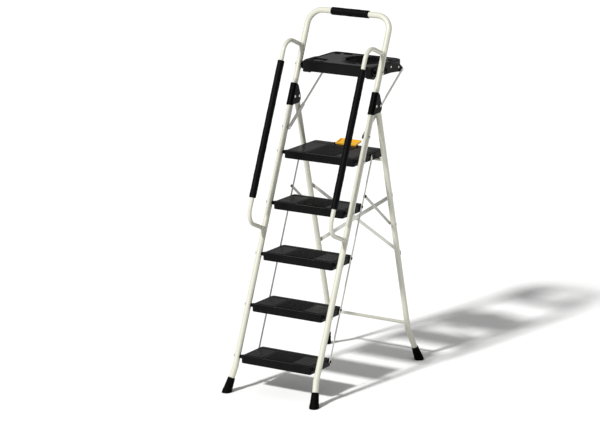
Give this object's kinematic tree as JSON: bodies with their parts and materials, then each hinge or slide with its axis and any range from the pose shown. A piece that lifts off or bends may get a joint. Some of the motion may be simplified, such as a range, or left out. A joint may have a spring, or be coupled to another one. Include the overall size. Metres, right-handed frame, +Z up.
{
  "type": "step ladder",
  "caption": "Folding step ladder with moulded treads, bent side handrails, a hinged rear frame and a fold-up tool tray with bucket and tool holes.",
  "frame": {"origin": "centre of the footprint on the floor, under the middle of the ladder's box", "axes": "+Z up, the climber stands at -Y and faces +Y, +X to the climber's right"},
  "size_m": [0.597, 1.028, 1.8028],
  "materials": {
    "ivory_tube": "glossy powder coat",
    "black_rubber": "matt",
    "black_foam": "fine cell foam",
    "black_plastic": "moulded, fine texture",
    "step_plastic": "moulded, ribbed",
    "orange_plastic": "moulded",
    "grey_bar": "powder coat",
    "black_plate": "black coat",
    "zinc": "zinc plated"
  },
  "bodies": {
    "front": {"front_frame": "ivory_tube", "front_boot_left": "black_rubber", "front_boot_right": "black_rubber", "top_grip": "black_foam", "handrail_left": "ivory_tube", "handrail_right": "ivory_tube", "handrail_grip_left": "black_foam", "handrail_grip_right": "black_foam", "handrail_stubs": "zinc", "handrail_collars": "ivory_tube", "handrail_screws": "zinc", "hinge_outer_cover_left": "black_plastic", "hinge_outer_cover_right": "black_plastic", "hinge_inner_cover_left": "black_plastic", "hinge_inner_cover_right": "black_plastic", "hinge_front_cover_left": "black_plastic", "hinge_front_cover_right": "black_plastic", "hinge_rivets": "zinc", "leg_pivot_pins": "zinc", "step_rivets": "zinc", "tray_guide_pins": "zinc", "strut_pins": "zinc", "pin_spacers": "black_plastic"},
    "rear": {"rear_leg_left": "ivory_tube", "rear_leg_right": "ivory_tube", "rear_boot_left": "black_rubber", "rear_boot_right": "black_rubber", "upper_crossbar": "ivory_tube", "lower_crossbar": "ivory_tube", "rear_brace_a": "grey_bar", "rear_brace_b": "grey_bar", "brace_rivets": "zinc", "link_pins": "zinc"},
    "tread_1": {"step_1": "step_plastic", "step_1_clips": "black_plastic"},
    "tread_2": {"step_2": "step_plastic", "step_2_clips": "black_plastic"},
    "tread_3": {"step_3": "step_plastic", "step_3_clips": "black_plastic"},
    "tread_4": {"step_4": "step_plastic", "step_4_clips": "black_plastic"},
    "tread_5": {"step_5": "step_plastic", "step_5_clips": "black_plastic", "latch_pin": "zinc"},
    "fold_rod_left": {"rod_left": "grey_bar"},
    "link_left": {"drag_link_left": "grey_bar", "drag_link_button_left": "black_plastic"},
    "tray_strut_left": {"strut_left": "grey_bar"},
    "fold_rod_right": {"rod_right": "grey_bar"},
    "link_right": {"drag_link_right": "grey_bar", "drag_link_button_right": "black_plastic"},
    "tray_strut_right": {"strut_right": "grey_bar"},
    "tray_body": {"tray": "step_plastic", "tray_skirt": "step_plastic", "tray_lugs": "step_plastic", "tray_bracket_left": "black_plate", "tray_bracket_right": "black_plate", "tray_bracket_rivets": "zinc", "strut_rivets": "zinc"},
    "latch_body": {"latch": "orange_plastic"}
  },
  "joints": [
    {"name": "rear_fold", "type": "hinge", "parent": "front", "child": "rear", "pos_m": [0, 0.12592, 1.36914], "axis": [-1, 0, 0], "range_deg": [0, 37.6]},
    {"name": "step_1_tilt", "type": "hinge", "parent": "front", "child": "tread_1", "pos_m": [0, -0.41757, 0.16836], "axis": [1, 0, 0], "range_deg": [0, 62.4]},
    {"name": "step_2_tilt", "type": "hinge", "parent": "front", "child": "tread_2", "pos_m": [0, -0.31863, 0.4049], "axis": [1, 0, 0], "range_deg": [0, 62.4]},
    {"name": "step_3_tilt", "type": "hinge", "parent": "front", "child": "tread_3", "pos_m": [0, -0.21968, 0.64144], "axis": [1, 0, 0], "range_deg": [0, 62.4]},
    {"name": "step_4_tilt", "type": "hinge", "parent": "front", "child": "tread_4", "pos_m": [0, -0.12073, 0.87798], "axis": [1, 0, 0], "range_deg": [0, 62.4]},
    {"name": "step_5_tilt", "type": "hinge", "parent": "front", "child": "tread_5", "pos_m": [0, -0.02179, 1.11452], "axis": [1, 0, 0], "range_deg": [0, 62.4]},
    {"name": "rod_pivot_left", "type": "hinge", "parent": "tread_3", "child": "fold_rod_left", "pos_m": [0, -0.06968, 0.64144], "axis": [-1, 0, 0], "range_deg": [0, 62.4]},
    {"name": "link_pivot_left", "type": "hinge", "parent": "rear", "child": "link_left", "pos_m": [0, 0.29305, 0.741], "axis": [-1, 0, 0], "range_deg": [0, 33]},
    {"name": "rod_pivot_right", "type": "hinge", "parent": "tread_3", "child": "fold_rod_right", "pos_m": [0, -0.06968, 0.64144], "axis": [-1, 0, 0], "range_deg": [0, 62.4]},
    {"name": "link_pivot_right", "type": "hinge", "parent": "rear", "child": "link_right", "pos_m": [0, 0.29305, 0.741], "axis": [-1, 0, 0], "range_deg": [0, 33]},
    {"name": "tray_fold", "type": "hinge", "parent": "front", "child": "tray_strut_left", "pos_m": [0, 0.02603, 1.22882], "axis": [1, 0, 0], "range_deg": [0, 28.86]},
    {"name": "strut_right_pivot", "type": "hinge", "parent": "front", "child": "tray_strut_right", "pos_m": [0, 0.02603, 1.22882], "axis": [1, 0, 0], "range_deg": [0, 28.9]},
    {"name": "tray_pivot", "type": "hinge", "parent": "tray_strut_left", "child": "tray_body", "pos_m": [0, 0.40513, 1.49911], "axis": [1, 0, 0], "range_deg": [0, 33]},
    {"name": "latch_release", "type": "hinge", "parent": "tread_5", "child": "latch_body", "pos_m": [0, 0.21821, 1.13202], "axis": [1, 0, 0], "range_deg": [0, 16], "stiffness_Nm_per_rad": 0.35, "springref_deg": -17.19}
  ],
  "couplings": [
    {"joint": "step_1_tilt", "follows": "rear_fold", "ratio": 1.6569},
    {"joint": "step_2_tilt", "follows": "rear_fold", "ratio": 1.6569},
    {"joint": "step_3_tilt", "follows": "rear_fold", "ratio": 1.6569},
    {"joint": "step_4_tilt", "follows": "rear_fold", "ratio": 1.6569},
    {"joint": "step_5_tilt", "follows": "rear_fold", "ratio": 1.6569},
    {"joint": "rod_pivot_left", "follows": "rear_fold", "ratio": 1.6569},
    {"joint": "link_pivot_left", "follows": "rear_fold", "ratio": 0.87244},
    {"joint": "rod_pivot_right", "follows": "rear_fold", "ratio": 1.6569},
    {"joint": "link_pivot_right", "follows": "rear_fold", "ratio": 0.87244},
    {"joint": "strut_right_pivot", "follows": "tray_fold", "ratio": 1},
    {"joint": "tray_pivot", "follows": "tray_fold", "ratio": 1.1428}
  ]
}
